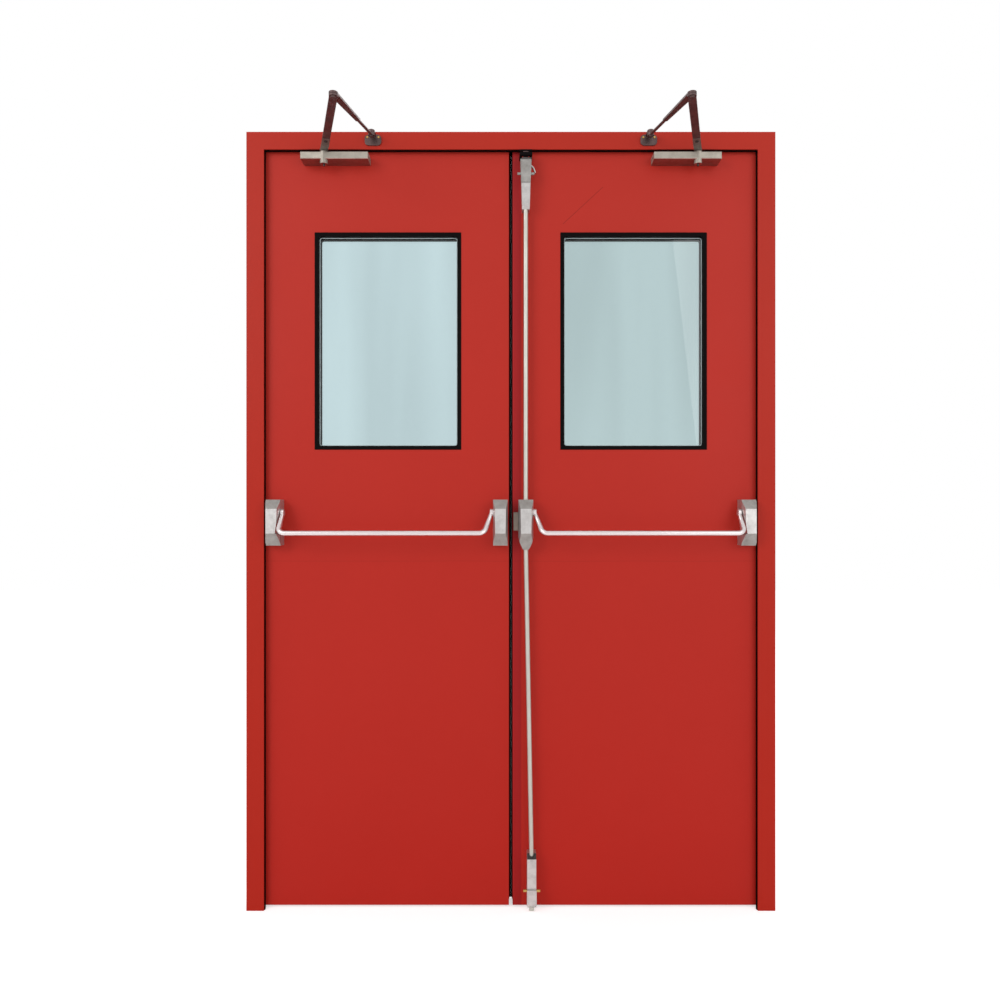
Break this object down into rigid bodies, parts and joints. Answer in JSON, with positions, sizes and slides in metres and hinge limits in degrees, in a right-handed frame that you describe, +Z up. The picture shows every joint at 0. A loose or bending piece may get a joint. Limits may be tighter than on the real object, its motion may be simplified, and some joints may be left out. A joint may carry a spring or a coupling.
{
  "type": "double fire door with panic bars",
  "caption": "Glazed double steel fire door in a rebated frame, with push bars, vertical rods and a surface door closer on each leaf.",
  "frame": {"origin": "foot of the left jamb's wall face, at floor level and mid-depth of the frame", "axes": "+X across the doorway to the right seen from the push side, +Y away from the push bars in the direction that both leaves open, +Z up"},
  "size_m": [1.46, 0.378, 2.15],
  "materials": {
    "frame_paint": "satin",
    "leaf_paint": "satin",
    "seal_rubber": "matt",
    "bead_black": "satin",
    "fire_glass": "clear",
    "hinge_steel": "brushed",
    "closer_silver": "satin",
    "arm_bronze": "satin",
    "latch_silver": "satin",
    "bar_steel": "satin",
    "rod_steel": "satin"
  },
  "bodies": {
    "root": {"frame_left_jamb": "frame_paint", "frame_right_jamb": "frame_paint", "frame_head": "frame_paint", "door_seal": "seal_rubber", "top_strike": "rod_steel", "left_hinge_frame_halves": "hinge_steel", "right_hinge_frame_halves": "hinge_steel", "left_closer_shoe": "arm_bronze", "right_closer_shoe": "arm_bronze"},
    "left_leaf": {"left_leaf": "leaf_paint", "left_glazing_front": "bead_black", "left_glazing_back": "bead_black", "left_glass": "fire_glass", "left_hinge_leaf_halves": "hinge_steel", "left_closer_body": "closer_silver", "left_hinge_side_housing": "latch_silver", "left_latch_side_housing": "latch_silver"},
    "right_leaf": {"right_leaf": "leaf_paint", "right_glazing_front": "bead_black", "right_glazing_back": "bead_black", "right_glass": "fire_glass", "right_hinge_leaf_halves": "hinge_steel", "right_closer_body": "closer_silver", "right_hinge_side_housing": "latch_silver", "rod_housing": "latch_silver", "latch_keeper": "closer_silver", "top_latch_case": "latch_silver", "top_latch_cover": "latch_silver", "bottom_latch_case": "latch_silver", "bottom_latch_cover": "latch_silver"},
    "left_closer_arm": {"left_arm_clamp": "closer_silver", "left_main_arm": "arm_bronze"},
    "right_closer_arm": {"right_arm_clamp": "closer_silver", "right_main_arm": "arm_bronze"},
    "left_closer_forearm": {"left_forearm": "arm_bronze"},
    "right_closer_forearm": {"right_forearm": "arm_bronze"},
    "left_push_bar": {"left_push_bar": "bar_steel"},
    "right_push_bar": {"right_push_bar": "bar_steel"},
    "upper_rod": {"upper_rod": "rod_steel", "top_bolt": "rod_steel"},
    "lower_rod": {"lower_rod": "rod_steel", "bottom_bolt": "rod_steel"}
  },
  "joints": [
    {"name": "left_leaf_hinge", "type": "hinge", "parent": "root", "child": "left_leaf", "pos_m": [0.034, 0.0415, 1.06], "axis": [0, 0, 1], "range_deg": [0, 80], "stiffness_Nm_per_rad": 12, "springref_deg": -17.19},
    {"name": "left_arm_spindle", "type": "hinge", "parent": "left_leaf", "child": "left_closer_arm", "pos_m": [0.218, -0.05, 2.09], "axis": [0, 0, 1], "range_deg": [-112.76, 0.5]},
    {"name": "left_shoe_pivot", "type": "hinge", "parent": "root", "child": "left_closer_forearm", "pos_m": [0.35, -0.06, 2.12], "axis": [0, 0, 1], "range_deg": [-79.28, 0.5]},
    {"name": "right_leaf_hinge", "type": "hinge", "parent": "root", "child": "right_leaf", "pos_m": [1.426, 0.0415, 1.06], "axis": [0, 0, -1], "range_deg": [0, 80], "stiffness_Nm_per_rad": 12, "springref_deg": -17.19},
    {"name": "right_arm_spindle", "type": "hinge", "parent": "right_leaf", "child": "right_closer_arm", "pos_m": [1.242, -0.05, 2.09], "axis": [0, 0, -1], "range_deg": [-112.76, 0.5]},
    {"name": "right_shoe_pivot", "type": "hinge", "parent": "root", "child": "right_closer_forearm", "pos_m": [1.11, -0.06, 2.12], "axis": [0, 0, -1], "range_deg": [-79.28, 0.5]},
    {"name": "left_bar_pivot", "type": "hinge", "parent": "left_leaf", "child": "left_push_bar", "pos_m": [0.35, -0.044, 1.1], "axis": [1, 0, 0], "range_deg": [0, 18], "stiffness_Nm_per_rad": 2, "springref_deg": -34.38},
    {"name": "right_bar_pivot", "type": "hinge", "parent": "right_leaf", "child": "right_push_bar", "pos_m": [1.11, -0.044, 1.1], "axis": [1, 0, 0], "range_deg": [0, 18], "stiffness_Nm_per_rad": 2, "springref_deg": -34.38},
    {"name": "upper_rod_slide", "type": "slide", "parent": "right_leaf", "child": "upper_rod", "axis": [0, 0, -1], "range_m": [0, 0.0125]},
    {"name": "lower_rod_slide", "type": "slide", "parent": "right_leaf", "child": "lower_rod", "axis": [0, 0, 1], "range_m": [0, 0.0125]}
  ],
  "couplings": [
    {"joint": "left_arm_spindle", "follows": "left_leaf_hinge", "ratio": -1.4033},
    {"joint": "left_shoe_pivot", "follows": "left_leaf_hinge", "ratio": -0.98475},
    {"joint": "right_arm_spindle", "follows": "right_leaf_hinge", "ratio": -1.4033},
    {"joint": "right_shoe_pivot", "follows": "right_leaf_hinge", "ratio": -0.98475},
    {"joint": "upper_rod_slide", "follows": "right_bar_pivot", "m_per_rad": 0.0382},
    {"joint": "lower_rod_slide", "follows": "right_bar_pivot", "m_per_rad": 0.0382}
  ]
}
